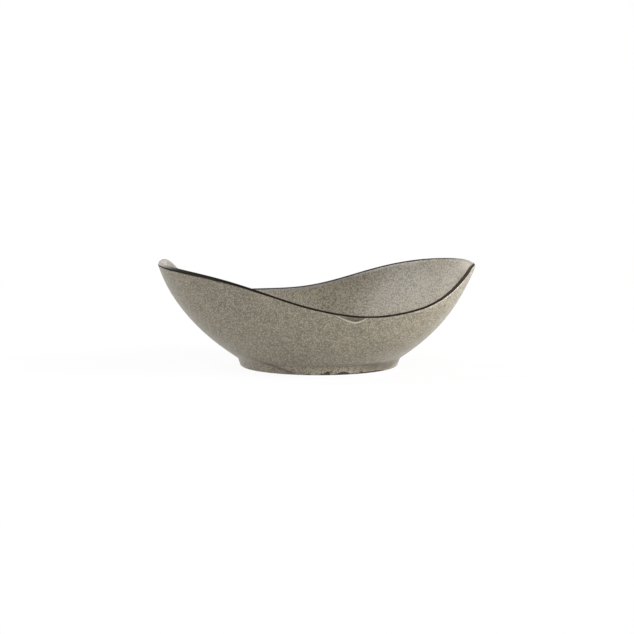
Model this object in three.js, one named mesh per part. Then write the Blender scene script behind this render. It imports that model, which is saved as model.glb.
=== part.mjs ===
// Oval stoneware bowl with raised tips, a swept rim and a low oval foot.
// Millimetres, +Z up. The origin is the middle of the bowl on the surface that it stands on,
// +X runs along the bowl to one tip and -Y is the side with the sag in its rim.
import * as THREE from 'three';

const { degToRad, lerp } = THREE.MathUtils;

// Rim, measured at the lip's outer edge
const BOWL_LENGTH = 260; // tip to tip
const BOWL_WIDTH = 151; // across the middle
const TIP_HEIGHT = 83.3; // standing surface to the lip's edge where a tip is highest
const SIDE_HEIGHT = 52.3; // standing surface to the lip's edge where the long sides are lowest
const TIP_SHARPNESS = 4.05; // power of the height's cosine: more makes the tips narrower
const TIP_TURN = degToRad(7.5); // how far the highest places lie round the oval from its ends
const RIM_SWEEP = degToRad(27.4); // how far the low stretches are carried round the oval
const RIM_LEAN = degToRad(9.5); // how much one flank of each tip is steeper than the other
const SAG_DEPTH = 4.2; // shallow sag in the front of the rim
const SAG_ANGLE = degToRad(291.5); // where the sag is, round the oval
const SAG_SPREAD = degToRad(16); // how far the sag reaches either way
const SWELL_HEIGHT = 6; // soft swell in the rim behind the -X tip
const SWELL_ANGLE = degToRad(164.1); // where the swell is, round the oval
const SWELL_SPREAD = degToRad(13.3); // how far the swell reaches either way

// Wall
const WALL_REACH = 0.772; // the wall's bulge: outward share of its pull point
const WALL_LIFT = 0.416; // the wall's bulge: upward share of its pull point
const LIP_THICKNESS = 4.2; // over the glaze
const WALL_THICKNESS = 5.6; // over the glaze, at the foot of the wall
const FLOOR_THICKNESS = 6.2; // over the glaze, between the inside and the underside
const FLOOR_BLEND = 7; // softness of the turn from the wall to the floor

// Foot
const FOOT_LENGTH = 135; // at its top, over the glaze
const FOOT_WIDTH = 112; // at its top, over the glaze
const FOOT_HEIGHT = 6.9;
const FOOT_OFFSET = 2.8; // the foot sits this far off the middle, towards +X
const FOOT_TAPER = 2.3; // how far the foot's side draws in towards the standing edge
const FOOT_RING_WIDTH = 10; // from the foot's outside to its recess
const RECESS_DRAFT = 1; // how far the recess narrows towards its ceiling
const EDGE_BEVEL = 1.1; // eased corners of the standing edge
const BARE_EDGE = 1.2; // height of the unglazed clay above the standing surface

// Glaze
const GLAZE_THICKNESS = 0.4;
const CLEARANCE = 0.3; // gap between a glaze coat and what lies next to it
const BAND_TIP_TURN = degToRad(12); // where the dark band starts on the lip's round at the tips
const BAND_SIDE_TURN = degToRad(36); // where it starts at the long sides
const BAND_INNER_TURN = degToRad(150); // where it ends, all the way round

// Fineness of the surfaces
const ANGLE_STEPS = 60;
const WALL_STEPS = 8;
const LIP_STEPS = 6;
const BAND_STEPS = 5;
const FLOOR_STEPS = 3;
const SLOPE_STEP = 1e-4; // parameter step for measuring slopes

const COAT = GLAZE_THICKNESS + CLEARANCE;
const LIP_RADIUS = LIP_THICKNESS / 2;
const FLOOR_TOP = FOOT_HEIGHT + FLOOR_THICKNESS - GLAZE_THICKNESS;
const BAND_GAP_TURN = CLEARANCE / LIP_RADIUS;
const UP = new THREE.Vector3(0, 0, 1);

// Point of an oval of the given half-axes
function ovalPoint(angle, halfLength, halfWidth) {
  return new THREE.Vector3(halfLength * Math.cos(angle), halfWidth * Math.sin(angle), 0);
}

// Bell curve round the oval: 1 at its own angle, falling off over its spread
function bell(angle, middle, spread) {
  const away = Math.atan2(Math.sin(angle - middle), Math.cos(angle - middle));
  return Math.exp(-((away / spread) ** 2));
}

// Outer edge of the lip: an oval that rises to both tips, with its low stretches swept round
function rimEdge(angle) {
  const swept = angle - TIP_TURN - RIM_SWEEP * Math.sin(angle) ** 2 - RIM_LEAN * Math.sin(2 * angle);
  const rise = Math.abs(Math.cos(swept)) ** TIP_SHARPNESS;
  const sag = SAG_DEPTH * bell(angle, SAG_ANGLE, SAG_SPREAD);
  const swell = SWELL_HEIGHT * bell(angle, SWELL_ANGLE, SWELL_SPREAD);
  const edge = ovalPoint(angle, BOWL_LENGTH / 2, BOWL_WIDTH / 2);
  edge.z = SIDE_HEIGHT + (TIP_HEIGHT - SIDE_HEIGHT) * rise - sag + swell;
  return edge;
}

// Crease between the wall and the foot
function footEdge(angle) {
  const edge = ovalPoint(angle, FOOT_LENGTH / 2, FOOT_WIDTH / 2);
  edge.x += FOOT_OFFSET;
  edge.z = FOOT_HEIGHT;
  return edge;
}

// Outside of the wall: one quadratic curve from the foot's crease to the rim, at every angle
function outerWall(angle, rise) {
  const pull = 2 * rise * (1 - rise);
  const out = pull * WALL_REACH + rise ** 2;
  const up = pull * WALL_LIFT + rise ** 2;
  const foot = footEdge(angle);
  const span = rimEdge(angle).sub(foot);
  return foot.add(span.multiply(new THREE.Vector3(out, out, up)));
}

// Directions on the outside of the wall: round the oval, and square out of the surface
function wallDirections(angle, rise) {
  const round = outerWall(angle + SLOPE_STEP, rise).sub(outerWall(angle - SLOPE_STEP, rise)).normalize();
  const climb = outerWall(angle, rise + SLOPE_STEP).sub(outerWall(angle, rise - SLOPE_STEP));
  const outward = round.clone().cross(climb).normalize();
  return { round, outward };
}

// Point under the outside of the wall, at a depth into it
function outerPoint(angle, rise, depth) {
  const { outward } = wallDirections(angle, rise);
  return outerWall(angle, rise).addScaledVector(outward, -depth);
}

// Point under the half-round lip, turned from the outside over the crest to the inside
function lipPoint(angle, turn, depth) {
  const { round, outward } = wallDirections(angle, 1);
  const crestward = outward.clone().cross(round);
  const radius = LIP_RADIUS - depth;
  return outerPoint(angle, 1, LIP_RADIUS)
    .addScaledVector(outward, radius * Math.cos(turn))
    .addScaledVector(crestward, radius * Math.sin(turn));
}

// Where the dark band starts on the lip's round
function bandStart(angle) {
  return lerp(BAND_TIP_TURN, BAND_SIDE_TURN, Math.sin(angle) ** 4);
}

// Height over the floor, with a soft turn where the wall runs out into it
function aboveFloor(height, depth) {
  const floor = FLOOR_TOP - depth;
  return (height + floor + Math.hypot(height - floor, FLOOR_BLEND)) / 2;
}

// Point under the inside of the wall before it turns into the floor
function bareInnerPoint(angle, rise, depth) {
  const thickness = LIP_THICKNESS + (WALL_THICKNESS - LIP_THICKNESS) * (1 - rise);
  return outerPoint(angle, rise, thickness - depth);
}

function innerPoint(angle, rise, depth) {
  const point = bareInnerPoint(angle, rise, depth);
  point.z = aboveFloor(point.z, depth);
  return point;
}

// Point under the floor: the wall's slope carried on inwards, softened into the floor, level in the middle
function floorPoint(angle, reach, depth) {
  const base = bareInnerPoint(angle, 0, depth);
  const span = rimEdge(angle).sub(footEdge(angle));
  const slope = (WALL_LIFT * span.z) / (WALL_REACH * Math.hypot(span.x, span.y));
  const fromMiddle = new THREE.Vector3(base.x - FOOT_OFFSET, base.y, 0);
  const drop = (1 - reach) * fromMiddle.length() * slope;
  const floor = FLOOR_TOP - depth;
  const levelling = 1 - (1 - reach) ** 2;
  return new THREE.Vector3(
    FOOT_OFFSET + fromMiddle.x * reach,
    fromMiddle.y * reach,
    floor + (aboveFloor(base.z - drop, depth) - floor) * levelling,
  );
}

// Point of the foot at a height, set in from its outside
function footPoint(angle, height, inset) {
  const round = footEdge(angle + SLOPE_STEP).sub(footEdge(angle - SLOPE_STEP));
  const outward = round.cross(UP).normalize();
  const edge = footEdge(angle).addScaledVector(outward, -inset);
  edge.z = height;
  return edge;
}

function footTaper(height) {
  return FOOT_TAPER * (1 - height / FOOT_HEIGHT);
}

// Evenly spaced values from start to end, both included
function stations(start, end, steps) {
  return Array.from({ length: steps + 1 }, (_, step) => start + ((end - start) * step) / steps);
}

// Closed body carried round the oval. sectionAt gives the points of one section, in order with the
// body on the left. A section with poles starts and ends on the middle axis, any other is a loop.
function ovalBody(sectionAt, hasPoles) {
  const sections = Array.from({ length: ANGLE_STEPS }, (_, step) => sectionAt((2 * Math.PI * step) / ANGLE_STEPS));
  const rows = sections[0].length;
  const positions = sections.flatMap((section) => section.flatMap((point) => point.toArray()));
  const triangles = [];
  const lastRow = hasPoles ? rows - 1 : rows;
  for (let step = 0; step < ANGLE_STEPS; step += 1) {
    const here = step * rows;
    const next = ((step + 1) % ANGLE_STEPS) * rows;
    for (let row = 0; row < lastRow; row += 1) {
      const after = (row + 1) % rows;
      const startsOnPole = hasPoles && row === 0;
      const endsOnPole = hasPoles && after === rows - 1;
      if (!startsOnPole) {
        triangles.push(here + row, next + row, here + after);
      }
      if (!endsOnPole) {
        triangles.push(next + row, next + after, here + after);
      }
    }
  }
  const geometry = new THREE.BufferGeometry();
  geometry.setAttribute('position', new THREE.Float32BufferAttribute(positions, 3));
  geometry.setIndex(triangles);
  geometry.computeVertexNormals();
  return geometry;
}

// Loop of a thin coat: along its face and back along its underside
function coatLoop(pointsAtDepth) {
  return [...pointsAtDepth(0), ...pointsAtDepth(GLAZE_THICKNESS).reverse()];
}

function namedMesh(name, geometry, color, roughness) {
  const material = new THREE.MeshStandardMaterial({ color, roughness, metalness: 0 });
  const mesh = new THREE.Mesh(geometry, material);
  mesh.name = name;
  return mesh;
}

// Clay body: underside, outside, lip, inside and floor in one closed shell
function bowlWall() {
  const rises = stations(0, 1, WALL_STEPS);
  const lipTurns = stations(0, Math.PI, LIP_STEPS).slice(1, -1);
  const reaches = stations(1, 0, FLOOR_STEPS).slice(1);
  return ovalBody((angle) => {
    const outside = rises.map((rise) => outerPoint(angle, rise, COAT));
    const underside = outside[0].clone().setZ(FOOT_HEIGHT);
    return [
      new THREE.Vector3(FOOT_OFFSET, 0, FOOT_HEIGHT),
      underside,
      ...outside,
      ...lipTurns.map((turn) => lipPoint(angle, turn, COAT)),
      ...[...rises].reverse().map((rise) => innerPoint(angle, rise, COAT)),
      ...reaches.map((reach) => floorPoint(angle, reach, COAT)),
    ];
  }, true);
}

// Clay ring under the wall, with a flat standing edge
function footRing() {
  return ovalBody((angle) => [
    footPoint(angle, FOOT_HEIGHT, FOOT_RING_WIDTH + RECESS_DRAFT),
    footPoint(angle, EDGE_BEVEL, FOOT_RING_WIDTH),
    footPoint(angle, 0, FOOT_RING_WIDTH - EDGE_BEVEL),
    footPoint(angle, 0, COAT + footTaper(0) + EDGE_BEVEL),
    footPoint(angle, EDGE_BEVEL, COAT + footTaper(EDGE_BEVEL)),
    footPoint(angle, FOOT_HEIGHT, COAT),
  ], false);
}

// Speckled coat on the outside, from the foot's crease up to the dark band
function outerGlaze() {
  const rises = stations(0, 1, WALL_STEPS);
  return ovalBody((angle) => coatLoop((depth) => [
    ...rises.map((rise) => outerPoint(angle, rise, depth)),
    lipPoint(angle, bandStart(angle) - BAND_GAP_TURN, depth),
  ]), false);
}

// Dark band over the crest of the lip
function rimBand() {
  return ovalBody((angle) => {
    const turns = stations(bandStart(angle), BAND_INNER_TURN, BAND_STEPS);
    return coatLoop((depth) => turns.map((turn) => lipPoint(angle, turn, depth)));
  }, false);
}

// Speckled coat on the inside, from the dark band down over the floor
function innerGlaze() {
  const rises = stations(1, 0, WALL_STEPS);
  const reaches = stations(1, 0, FLOOR_STEPS).slice(1);
  return ovalBody((angle) => {
    const face = (depth) => [
      lipPoint(angle, BAND_INNER_TURN + BAND_GAP_TURN, depth),
      ...rises.map((rise) => innerPoint(angle, rise, depth)),
      ...reaches.map((reach) => floorPoint(angle, reach, depth)),
    ];
    return [...face(GLAZE_THICKNESS).reverse(), ...face(0)];
  }, true);
}

// Speckled coat round the foot, stopping short of the bare standing edge
function footGlaze() {
  const heights = [BARE_EDGE, FOOT_HEIGHT - CLEARANCE];
  return ovalBody((angle) => coatLoop(
    (depth) => heights.map((height) => footPoint(angle, height, footTaper(height) + depth)),
  ), false);
}

// Speckled coat on the ceiling of the recess under the bowl
function baseGlaze() {
  const inset = FOOT_RING_WIDTH + RECESS_DRAFT + CLEARANCE;
  const lowSide = FOOT_HEIGHT - GLAZE_THICKNESS;
  return ovalBody((angle) => [
    new THREE.Vector3(FOOT_OFFSET, 0, lowSide),
    footPoint(angle, lowSide, inset),
    footPoint(angle, FOOT_HEIGHT, inset),
    new THREE.Vector3(FOOT_OFFSET, 0, FOOT_HEIGHT),
  ], true);
}

const CLAY = 0x58493c;
const SPECKLED_GLAZE = 0x8a8170;
const DARK_GLAZE = 0x33291f;
const CLAY_ROUGHNESS = 0.85;
const GLAZE_ROUGHNESS = 0.35;

const bowl = new THREE.Group();
bowl.name = 'oval_bowl';
bowl.add(
  namedMesh('bowl_wall', bowlWall(), CLAY, CLAY_ROUGHNESS),
  namedMesh('foot_ring', footRing(), CLAY, CLAY_ROUGHNESS),
  namedMesh('outer_glaze', outerGlaze(), SPECKLED_GLAZE, GLAZE_ROUGHNESS),
  namedMesh('inner_glaze', innerGlaze(), SPECKLED_GLAZE, GLAZE_ROUGHNESS),
  namedMesh('foot_glaze', footGlaze(), SPECKLED_GLAZE, GLAZE_ROUGHNESS),
  namedMesh('base_glaze', baseGlaze(), SPECKLED_GLAZE, GLAZE_ROUGHNESS),
  namedMesh('rim_band', rimBand(), DARK_GLAZE, GLAZE_ROUGHNESS),
);

export default bowl;
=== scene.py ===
# Oval stoneware bowl with a swept rim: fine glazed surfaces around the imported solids.
import math

import bpy
import numpy as np
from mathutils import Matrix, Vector


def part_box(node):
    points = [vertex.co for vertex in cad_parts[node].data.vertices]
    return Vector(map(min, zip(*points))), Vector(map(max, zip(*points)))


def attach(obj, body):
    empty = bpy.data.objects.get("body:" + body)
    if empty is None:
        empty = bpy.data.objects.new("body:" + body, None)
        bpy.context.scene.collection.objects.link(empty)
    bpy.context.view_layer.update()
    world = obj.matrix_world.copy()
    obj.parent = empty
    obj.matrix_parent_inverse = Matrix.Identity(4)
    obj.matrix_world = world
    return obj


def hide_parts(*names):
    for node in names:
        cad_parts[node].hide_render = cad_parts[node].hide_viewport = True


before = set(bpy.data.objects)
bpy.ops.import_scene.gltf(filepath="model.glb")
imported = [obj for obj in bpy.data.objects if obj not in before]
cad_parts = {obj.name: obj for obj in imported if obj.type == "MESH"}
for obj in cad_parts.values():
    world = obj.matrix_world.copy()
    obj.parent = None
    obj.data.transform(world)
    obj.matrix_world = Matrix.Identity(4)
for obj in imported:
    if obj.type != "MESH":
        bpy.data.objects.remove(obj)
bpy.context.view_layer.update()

bl_info = {
    "name": "Oval stoneware bowl",
    "version": (1, 0, 0),
    "blender": (4, 5, 0),
    "location": "View3D > Sidebar > Bowl",
    "description": "Makes a glazed oval bowl with a swept rim, standing in soft white studio light",
    "category": "Add Mesh",
}

MILLIMETRE = 0.001
ROOT_BODY = "root"

# Fineness of the surfaces
MARK_ANGLE_COUNT = 400
PLAIN_ANGLE_COUNT = 288
LOWER_WALL_ROWS = 48
UPPER_WALL_ROWS = 36
UPPER_WALL_START = 0.84
LIP_ROWS = 14
LIP_EDGE_ROWS = 6
INSIDE_ROWS = 56
FLOOR_ROWS = 22
FOOT_ROWS = 14
CORNER_ROWS = 6
SLOPE_STEP = 1e-4
LEAST_TURN = math.radians(1)
SHARP_ANGLE = math.radians(38)
LIP_INSIDE_ROWS = 4
DENSITY_STEPS = 4096

# Places round the oval of pooled glaze with painted shade, of painted light on the clay, and of a gap in the
# painted sheen inside the lip: middle and spread in degrees
CREASE_POOL_SHADE = (322, 30)
LIT_CLAY = (232, 22)
STRIP_GAP = (38, 30)

# Patches inside the lip, painted sheen at the left tip and the front, a darker patch beside the left tip and
# a painted highlight at the right tip: middle and spread in degrees, fade's start and end in metres, and
# level
LEFT_TIP_SHEEN = (193, 14, 0.008, 0.026, 1.0)
FRONT_SHEEN = (303, 20, 0.003, 0.012, 0.6)
LEFT_DARK_PATCH = (160, 12, 0.008, 0.026, 1.4)
RIGHT_SHINE = (4, 9, 0.003, 0.014, 0.8)


def size(name, default, description):
    """A length in metres."""
    return bpy.props.FloatProperty(
        name=name, description=description, default=default, unit="LENGTH", precision=5)


def bend(name, degrees, description):
    """An angle, given in degrees and held in radians."""
    return bpy.props.FloatProperty(
        name=name, description=description, default=math.radians(degrees), subtype="ANGLE", unit="ROTATION")


def share(name, default, description):
    """A plain number, such as a share or a power."""
    return bpy.props.FloatProperty(name=name, description=description, default=default, precision=4)


def colour(name, default, description):
    """A linear colour."""
    return bpy.props.FloatVectorProperty(
        name=name, description=description, default=default, subtype="COLOR", size=3, min=0.0, max=1.0)


class BowlShape(bpy.types.PropertyGroup):
    """Sizes of the bowl's wall, lip, foot and glaze."""

    length: size("Length", 0.260, "Tip to tip over the outer edge of the lip")
    width: size("Width", 0.151, "Across the middle over the outer edge of the lip")
    tip_height: size("Tip height", 0.0833, "Standing surface to the lip's edge where a tip is highest")
    side_height: size("Side height", 0.0523, "Standing surface to the lip's edge at the lowest stretch")
    tip_sharpness: share("Tip sharpness", 4.05, "Power of the height's cosine: more narrows the tips")
    tip_turn: bend("Tip turn", 7.5, "How far the highest places lie round the oval from its ends")
    sweep: bend("Sweep", 27.4, "How far the low stretches are carried round the oval")
    lean: bend("Lean", 9.5, "How much one flank of each tip is steeper than the other")
    sag_depth: size("Sag depth", 0.0042, "Depth of the sag in the front of the rim")
    sag_angle: bend("Sag angle", 291.5, "Where the sag is, round the oval")
    sag_spread: bend("Sag spread", 16, "How far the sag reaches either way")
    swell_height: size("Swell height", 0.006, "Height of the soft swell in the rim behind one tip")
    swell_angle: bend("Swell angle", 164.1, "Where the swell is, round the oval")
    swell_spread: bend("Swell spread", 13.3, "How far the swell reaches either way")
    point_reach: size("Point reach", 0.0018, "How far the right tip runs out to a point")
    point_angle: bend("Point angle", 359, "Where the point is, round the oval")
    point_spread: bend("Point spread", 4.5, "How far the point reaches either way")
    point_power: share("Point power", 5, "How soon the point fades down the wall")
    wall_reach: share("Wall reach", 0.772, "Outward share of the wall's pull point")
    wall_lift: share("Wall lift", 0.416, "Upward share of the wall's pull point")
    lip_thickness: size("Lip thickness", 0.0042, "Over the glaze")
    wall_thickness: size("Wall thickness", 0.0056, "Over the glaze, at the foot of the wall")
    floor_thickness: size("Floor thickness", 0.0062, "Over the glaze")
    floor_blend: size("Floor blend", 0.007, "Softness of the turn from the wall to the floor")
    foot_length: size("Foot length", 0.135, "At the top of the foot")
    foot_width: size("Foot width", 0.112, "At the top of the foot")
    foot_height: size("Foot height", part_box("foot_ring")[1][2], "Standing surface to the crease")
    foot_offset: size("Foot offset", 0.0028, "How far the foot sits off the middle")
    foot_taper: size("Foot taper", 0.0023, "How far the foot's side draws in downwards")
    ring_width: size("Foot ring width", 0.010, "From the foot's outside to its recess")
    recess_draft: size("Recess draft", 0.001, "How far the recess narrows towards its ceiling")
    edge_round: size("Edge round", 0.0006, "Rounding of the standing edge's corners")
    bare_edge: size("Bare edge", 0.0008, "Mean height of the glaze line over the table")
    glaze: size("Glaze", 0.0004, "Thickness of the glaze coats")
    band_left_turn: bend("Band left turn", 5, "Start of the dark band on the lip's round, left tip")
    band_right_turn: bend("Band right turn", 50, "Start of the dark band on the lip's round, right tip")
    band_side_turn: bend("Band side turn", 30, "Start of the dark band on the lip's round, long sides")
    inner_tip_turn: bend("Inner tip turn", 125, "End of the dark band on the lip's round, tips")
    inner_point_turn: bend("Inner point turn", 30, "How much sooner the dark band ends at the point")
    inner_front_turn: bend("Inner front turn", 150, "End of the dark band on the lip's round, front")
    inner_back_turn: bend("Inner back turn", 158, "End of the dark band on the lip's round, back")


class HandMarks(bpy.types.PropertyGroup):
    """Small unevenness that the potter's hand and the kiln left."""

    ripple: size("Ripple", 0.00012, "Height of the soft waves in the wall")
    band_wander: bend("Band wander", 4, "How far the dark band's edges wander on the lip's round")
    glaze_wander: size("Glaze line wander", 0.0003, "How far the glaze line on the foot wanders")
    crease_fill: size("Crease fill", 0.0003, "Glaze pooled in the crease over the foot")
    crease_reach: size("Crease reach", 0.0022, "How far the pooled glaze reaches")
    dent_place: size("Dent place", 0.0310, "Middle of the crescent dent along the bowl")
    dent_drop: size("Dent drop", 0.0042, "How far the crescent dent reaches below the dark band")
    dent_left: size("Dent left", 0.0155, "Reach of the dent towards the middle")
    dent_right: size("Dent right", 0.0097, "Reach of the dent towards the tip")
    dent_depth: size("Dent depth", 0.0008, "Depth of the dent at its lower edge")
    dent_roll: size("Dent roll", 0.0003, "Height of the rolled edge under the dent")


class GlazeLook(bpy.types.PropertyGroup):
    """Colours of the glazes and the clay."""

    pale_speck: colour("Pale speck", (0.316, 0.280, 0.207), "Fine pale specks of the glaze")
    dark_speck: colour("Dark speck", (0.111, 0.097, 0.070), "Darker ground between the specks")
    # Dark glaze pooled in the crease, also used as painted shade in the crease and in the dent's hollow
    pooled_shaded: colour("Pooled", (0.090, 0.074, 0.050), "Where the glaze lies thick")
    # Painted highlight on the dent's lower edge and inside the right tip
    bead: colour("Bead", (0.530, 0.480, 0.380), "Thin pale glaze on the dent's edge and in the right tip")
    band: colour("Band", (0.010, 0.007, 0.004), "Dark band over the lip")
    band_tip: colour("Band at the tip", (0.036, 0.026, 0.020), "Crest of the dark band at the right tip")
    # Painted highlight and reflection on the dark band
    band_sheen: colour("Worn band", (0.330, 0.305, 0.290), "Where the dark band is thin and pale")
    # Painted sheen inside the lip
    lip_sheen_colour: colour("Pale tip", (0.250, 0.238, 0.243), "Milky glaze inside the lip")
    clay: colour("Clay", (0.036, 0.026, 0.019), "Bare fired clay")
    clay_sand: colour("Clay sand", (0.080, 0.058, 0.042), "Sand grains in the clay")
    # Painted light on the clay at the left of the standing edge
    clay_lit: colour("Pale clay", (0.420, 0.380, 0.320), "Clay rubbed pale at the standing edge")


class StageLook(bpy.types.PropertyGroup):
    """Floor, light and camera."""

    sky: share("Sky", 0.1, "Strength of the even light from all round")
    right_lamp: share("Right lamp", 46.0, "Power of the wide soft lamp on the right")
    left_lamp: share("Left lamp", 22.0, "Power of the wide soft lamp at the back on the left")
    side_lamp: share("Side lamp", 6.0, "Power of the small soft lamp at the front on the left")
    front_lamp: share("Front lamp", 12.0, "Power of the soft lamp over and beside the camera")
    card_level: share("Card level", 0.25, "Grey level of the left and the front card")
    far_sheen_level: share("Far sheen level", 3.9, "Level of the far half of the inside's sheen card")
    near_sheen_level: share("Near sheen level", 5.4, "Level of the near half of that card")
    tip_level: share("Tip level", 1.8, "Level of the pale card that the inside of the left tip mirrors")
    floor_glow: share("Floor glow", 0.92, "Share of plain white in the floor as the camera sees it")
    camera_distance: size("Camera distance", 2.0, "From the camera to the point that it looks at")
    camera_rise: bend("Camera rise", 8.21, "How far the camera looks down")


def unit(vectors):
    """Vectors scaled to length one."""
    return vectors / np.linalg.norm(vectors, axis=-1, keepdims=True)


def points(x, y, z):
    """Three arrays joined as points, after they are spread to one shape."""
    return np.stack(np.broadcast_arrays(x, y, z), axis=-1)


def oval(angle, half_length, half_width):
    """Level ellipse: half length times cos(angle), half width times sin(angle)."""
    return points(half_length * np.cos(angle), half_width * np.sin(angle), 0.0)


def angle_from(angle, middle):
    """Turn from a middle to an angle, at most half a round either way."""
    return np.angle(np.exp(1j * (angle - middle)))


def bell(angle, middle, spread):
    """Bell curve round the oval: e to the power of minus the square of turn over spread."""
    return np.exp(-(angle_from(angle, middle) / spread) ** 2)


def bell_at(angle, place):
    """Bell curve round the oval, from its middle and its spread in degrees."""
    middle, spread = place
    return bell(angle, math.radians(middle), math.radians(spread))


def rim_edge(shape, angle):
    """Lip's outer edge: an oval of height side + rise times |cos(swept angle)| to a power - sag + swell.

    The swept angle is the angle less the tip turn, less sweep times its sine squared, and less lean times
    the sine of twice the angle. The sag and the swell are bell curves round their own angles.
    """
    swept = angle - shape.tip_turn - shape.sweep * np.sin(angle) ** 2 - shape.lean * np.sin(2 * angle)
    rise = np.abs(np.cos(swept)) ** shape.tip_sharpness
    sag = shape.sag_depth * bell(angle, shape.sag_angle, shape.sag_spread)
    swell = shape.swell_height * bell(angle, shape.swell_angle, shape.swell_spread)
    edge = oval(angle, shape.length / 2, shape.width / 2)
    edge[..., 2] = shape.side_height + (shape.tip_height - shape.side_height) * rise - sag + swell
    return edge


def foot_edge(shape, angle):
    """Crease between wall and foot: a level oval at the foot's height, set off along the bowl."""
    edge = oval(angle, shape.foot_length / 2, shape.foot_width / 2)
    return edge + np.array((shape.foot_offset, 0.0, shape.foot_height))


def outer_wall(shape, angle, rise):
    """Outside: from the crease to the rim, out = 2r(1-r) reach + r2 and up = 2r(1-r) lift + r2 of the way.

    The right tip runs out to a point along the bowl: a bell curve round the oval times a power of r.
    """
    pull = 2 * rise * (1 - rise)
    out = pull * shape.wall_reach + rise ** 2
    up = pull * shape.wall_lift + rise ** 2
    foot = foot_edge(shape, angle)
    span = rim_edge(shape, angle) - foot
    point = shape.point_reach * bell(angle, shape.point_angle, shape.point_spread) * rise ** shape.point_power
    return foot + span * points(out, out, up) + points(point, 0.0, 0.0)


def wall_directions(shape, angle, rise):
    """Unit vectors round the oval and square out of the wall, from small steps in both parameters."""
    ahead = outer_wall(shape, angle + SLOPE_STEP, rise)
    behind = outer_wall(shape, angle - SLOPE_STEP, rise)
    above = outer_wall(shape, angle, rise + SLOPE_STEP)
    below = outer_wall(shape, angle, rise - SLOPE_STEP)
    round_way = unit(ahead - behind)
    return round_way, unit(np.cross(round_way, above - below))


def outer_point(shape, angle, rise, depth):
    """Outside of the wall moved in along its normal by a depth."""
    outward = wall_directions(shape, angle, rise)[1]
    return outer_wall(shape, angle, rise) - outward * np.asarray(depth)[..., None]


def lip_point(shape, angle, turn, depth):
    """Half-round lip: centre + (radius - depth)(cos(turn) outward + sin(turn) crestward)."""
    round_way, outward = wall_directions(shape, angle, 1.0)
    crestward = np.cross(outward, round_way)
    lip_radius = shape.lip_thickness / 2
    centre = outer_wall(shape, angle, 1.0) - outward * lip_radius
    radius = np.asarray(lip_radius - depth)[..., None]
    across = np.cos(turn)[..., None]
    upward = np.sin(turn)[..., None]
    return centre + radius * (outward * across + crestward * upward)


def above_floor(shape, height, depth):
    """Soft larger of a height and the floor: half their sum plus half the hypotenuse of gap and blend."""
    floor = shape.foot_height + shape.floor_thickness - shape.glaze - depth
    return (height + floor + np.hypot(height - floor, shape.floor_blend)) / 2, floor


def bare_inner_point(shape, angle, rise, depth):
    """Inside of the wall, a thickness in from the outside that grows from the lip down to the foot."""
    thickness = shape.lip_thickness + (shape.wall_thickness - shape.lip_thickness) * (1 - rise)
    return outer_point(shape, angle, rise, thickness - depth)


def inner_point(shape, angle, rise, depth):
    """Inside of the wall, turned softly into the floor."""
    inside = bare_inner_point(shape, angle, rise, depth)
    inside[..., 2] = above_floor(shape, inside[..., 2], depth)[0]
    return inside


def floor_point(shape, angle, reach, depth):
    """Floor: the wall's slope carried on inwards over a reach of 1 to 0, softened, level in the middle."""
    base = bare_inner_point(shape, angle, 0.0, depth)
    span = rim_edge(shape, angle) - foot_edge(shape, angle)
    slope = shape.wall_lift * span[..., 2] / (shape.wall_reach * np.hypot(span[..., 0], span[..., 1]))
    x = base[..., 0] - shape.foot_offset
    y = base[..., 1]
    drop = (1 - reach) * np.hypot(x, y) * slope
    soft, floor = above_floor(shape, base[..., 2] - drop, depth)
    levelling = 1 - (1 - reach) ** 2
    return points(shape.foot_offset + x * reach, y * reach, floor + (soft - floor) * levelling)


def foot_outward(shape, angle):
    """Level unit vector square out of the foot."""
    round_way = foot_edge(shape, angle + SLOPE_STEP) - foot_edge(shape, angle - SLOPE_STEP)
    return unit(np.cross(round_way, (0.0, 0.0, 1.0)))


def foot_point(shape, angle, height, inset):
    """Foot at a height, set in from its outside by an inset."""
    edge = foot_edge(shape, angle) - foot_outward(shape, angle) * np.asarray(inset)[..., None]
    edge[..., 2] = height
    return edge


def foot_taper(shape, height):
    """How far the foot's side has drawn in at a height."""
    return shape.foot_taper * (1 - height / shape.foot_height)


# Unevenness

# Waves in the wall: length in metres, heading and start
RIPPLE_WAVES = (
    (0.062, (0.80, 0.35, 0.49), 0.4),
    (0.047, (-0.45, 0.62, 0.64), 2.1),
    (0.035, (0.64, -0.58, 0.50), 4.4),
    (0.026, (0.30, 0.81, -0.50), 1.2),
)
# Waves of a wandering line: number round the oval, height and start
WANDER_WAVES = ((5, 1.0, 0.7), (11, 0.8, 2.9), (23, 0.6, 5.1), (41, 0.5, 1.7), (67, 0.35, 3.8))
WANDER_GAIN = 1.6


def soft_step(low, high, value):
    """0 below low, 1 above high and 3s2 - 2s3 between them."""
    part = np.clip((value - low) / (high - low), 0.0, 1.0)
    return part * part * (3 - 2 * part)


def stretch(value, rise, fall):
    """1 along a stretch of values, from a soft rise to a soft fall, which have a start and an end each."""
    return soft_step(*rise, value) * (1 - soft_step(*fall, value))


def ripple(marks, where):
    """Soft waves: the mean of plane sine waves through space."""
    total = 0.0
    for wavelength, heading, start in RIPPLE_WAVES:
        total = total + np.sin(where @ np.array(heading) * (2 * math.pi / wavelength) + start)
    return marks.ripple * total / len(RIPPLE_WAVES)


def wander(angle, start):
    """Closed wandering line between about -1 and 1: sines with whole numbers of waves round the oval."""
    total = 0.0
    heights = 0.0
    for waves, height, offset in WANDER_WAVES:
        total = total + height * np.sin(waves * angle + offset + start)
        heights += height
    return WANDER_GAIN * total / heights


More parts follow.
